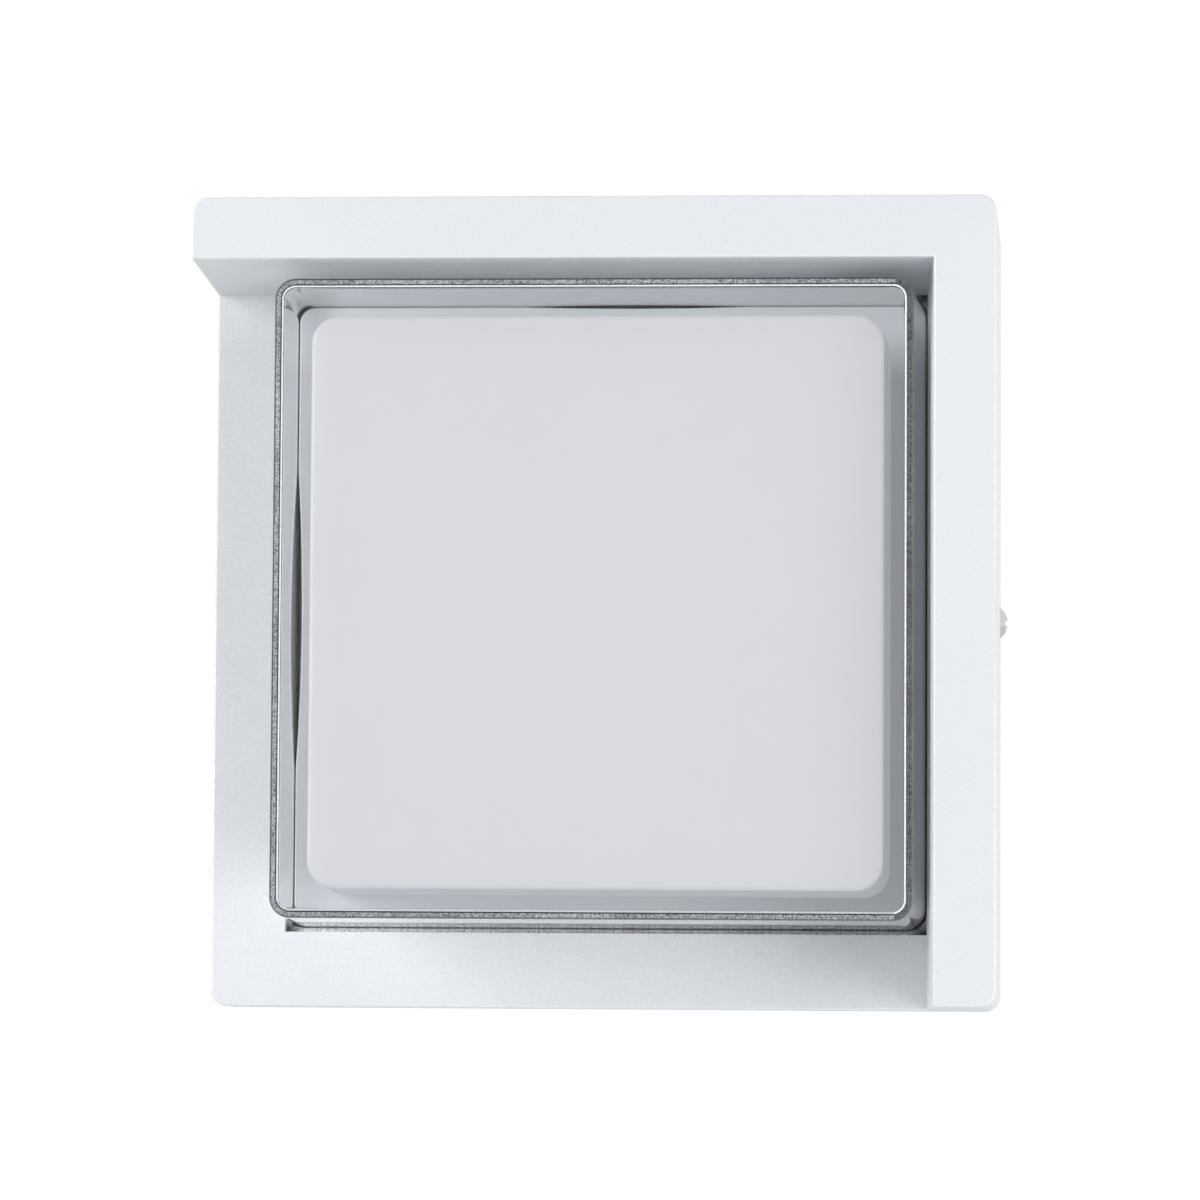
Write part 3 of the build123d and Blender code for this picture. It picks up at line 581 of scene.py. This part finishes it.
def clear_cover():
    """Moulded cover: a drafted box with a flange behind, and round its front a rim of opaque strips painted
    with the light and shade seen in it.
    """
    back_low, front_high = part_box("clear_cover")
    centre = (back_low + front_high) / 2
    front, back = back_low.y, front_high.y
    flange = (front_high.x - back_low.x) / 2
    foot = flange - FLANGE_REACH
    flange_y = back - FLANGE_THICK

    def at(y, inset, r, finish):
        """Station on the drafted walls at a depth, inset from their outside."""
        out = LEDGE_Y - y
        half_x = foot - SIDE_GAP - out * tan(SIDE_DRAFT) - inset
        half_z = foot - END_GAP - out * tan(END_DRAFT) - inset
        return (half_x, half_z, r, y, finish)

    clear, edge_line, band, inner_line, bright_line = range(5)
    inner_front, half_way = front + COVER_WALL, 0.3 * INNER_BEND
    inside = [
        at(inner_front, COVER_WALL + INNER_BEND, INNER_CORNER - INNER_BEND, clear),
        at(inner_front + half_way, COVER_WALL + half_way, INNER_CORNER - INNER_BEND / 3, clear),
        at(inner_front + INNER_BEND, COVER_WALL, INNER_CORNER, clear),
        at(back, COVER_WALL, INNER_CORNER, clear),
    ]
    outside = [
        (flange, flange, OUTER_CORNER, back, clear),
        (flange, flange, OUTER_CORNER, flange_y, clear),
        at(flange_y, 0.0, OUTER_CORNER, clear),
    ]
    # where each strip of the rim starts: its inset, and how far behind the front, in millimetres
    rim = (
        (0.00, 0.42, edge_line), (0.12, 0.12, edge_line), (0.42, 0.0, band), (1.38, 0.0, inner_line),
        (1.72, 0.0, bright_line), (2.12, 0.0, clear),
    )
    strips = [
        at(front + behind * MM, inset * MM, OUTER_CORNER - inset * MM, finish) for inset, behind, finish in rim
    ]
    # painted light and shade: the rim's strips are opaque tints in place of light refracted in the cover's
    # edge, a dark edge line, a grey band, a dark inner line and a bright painted highlight
    finishes = (
        materials["clear_cover"],
        painted_rim("rim_edge", (0.06, 0.065, 0.07), (0.12, 0.13, 0.13), (0.13, 0.14, 0.15), 0.5),
        painted_rim("rim_band", (0.33, 0.345, 0.37), (0.11, 0.116, 0.12), (0.31, 0.325, 0.345), 0.9),
        painted_rim("rim_inner", (0.05, 0.055, 0.06), (0.10, 0.11, 0.11), (0.025, 0.027, 0.03), 0.5),
        painted_rim("rim_painted_highlight", (0.80, 0.82, 0.84), (0.86, 0.88, 0.90), (0.55, 0.57, 0.60), 0.2, 0.15),
    )
    cover = skin("cover_with_painted_rim", centre, inside + outside + strips, finishes)
    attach(cover, "light")
    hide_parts("clear_cover")


clear_cover()


# ---------------------------------------------------------------- studio
def floor():
    """Plain pale floor, well below the light."""
    mesh = bpy.data.meshes.new("floor")
    build = bmesh.new()
    bmesh.ops.create_circle(build, cap_ends=True, segments=96, radius=9.0)
    build.to_mesh(mesh)
    build.free()
    plane = bpy.data.objects.new("floor", mesh)
    plane.location.z = -1.6
    bpy.context.collection.objects.link(plane)
    paper = grained("floor", (0.86, 0.86, 0.86), (0.88, 0.88, 0.88), rough=(0.7, 0.8), grains=200.0)
    mesh.materials.append(paper)


def softbox(name, azimuth, elevation, distance, width, height, power):
    """Square soft light, aimed at the middle of the light's front."""
    lamp = bpy.data.lights.new(name, "AREA")
    lamp.shape = "RECTANGLE"
    lamp.size, lamp.size_y, lamp.energy = width, height, power
    obj = bpy.data.objects.new(name, lamp)
    a, e = radians(azimuth), radians(elevation)
    away = Vector((sin(a) * cos(e), -cos(a) * cos(e), sin(e)))
    obj.location = Vector((0, front_y, 0)) + away * distance
    obj.rotation_euler = away.to_track_quat("Z", "Y").to_euler()
    bpy.context.collection.objects.link(obj)


def world(seen, ahead, aside):
    """White surroundings, as bright as paper to look at; as light they are softer ahead than at the sides."""
    place = bpy.data.worlds.new("studio")
    place.use_nodes = True
    tree = place.node_tree
    back = next(n for n in tree.nodes if n.type == "BACKGROUND")
    back.inputs["Color"].default_value = (1, 1, 1, 1)
    towards = apart(tree, tree.nodes.new("ShaderNodeTexCoord").outputs["Generated"])
    given = ranged(tree, towards["Y"], -1.0, -0.2, ahead, aside)
    path = tree.nodes.new("ShaderNodeLightPath")
    choose = node(tree, "ShaderNodeMix")
    wire(tree, path.outputs["Is Camera Ray"], choose.inputs["Factor"])
    wire(tree, given, choose.inputs["A"])
    give(tree, seen, choose.inputs["B"])
    wire(tree, choose.outputs["Result"], back.inputs["Strength"])
    bpy.context.scene.world = place


def camera():
    """A long lens, a little below and to the right of the light, with a slight roll."""
    data = bpy.data.cameras.new("camera")
    data.sensor_width, data.lens = 36.0, 152.2
    from_right, from_below, roll = radians(3.765), radians(3.89), radians(0.341)
    shift_right, shift_up, distance = 2.49 * MM, -0.48 * MM, 1224.4 * MM
    obj = bpy.data.objects.new("camera", data)
    turn = (
        Matrix.Rotation(radians(90), 4, "X")
        @ Matrix.Rotation(from_right, 4, "Y")
        @ Matrix.Rotation(from_below, 4, "X")
        @ Matrix.Rotation(roll, 4, "Z")
    )
    stand = Matrix.Translation((shift_right, shift_up, distance))
    obj.matrix_world = Matrix.Translation((0, front_y, 0)) @ turn @ stand
    bpy.context.collection.objects.link(obj)
    bpy.context.scene.camera = obj


floor()
softbox("softbox_right", 48, -11, 1.6, 1.0, 1.0, 14)
softbox("softbox_left", -56, 15, 1.6, 1.0, 1.0, 16)
world(seen=1.05, ahead=0.22, aside=0.92)
camera()
bpy.context.scene.view_settings.view_transform = "Standard"
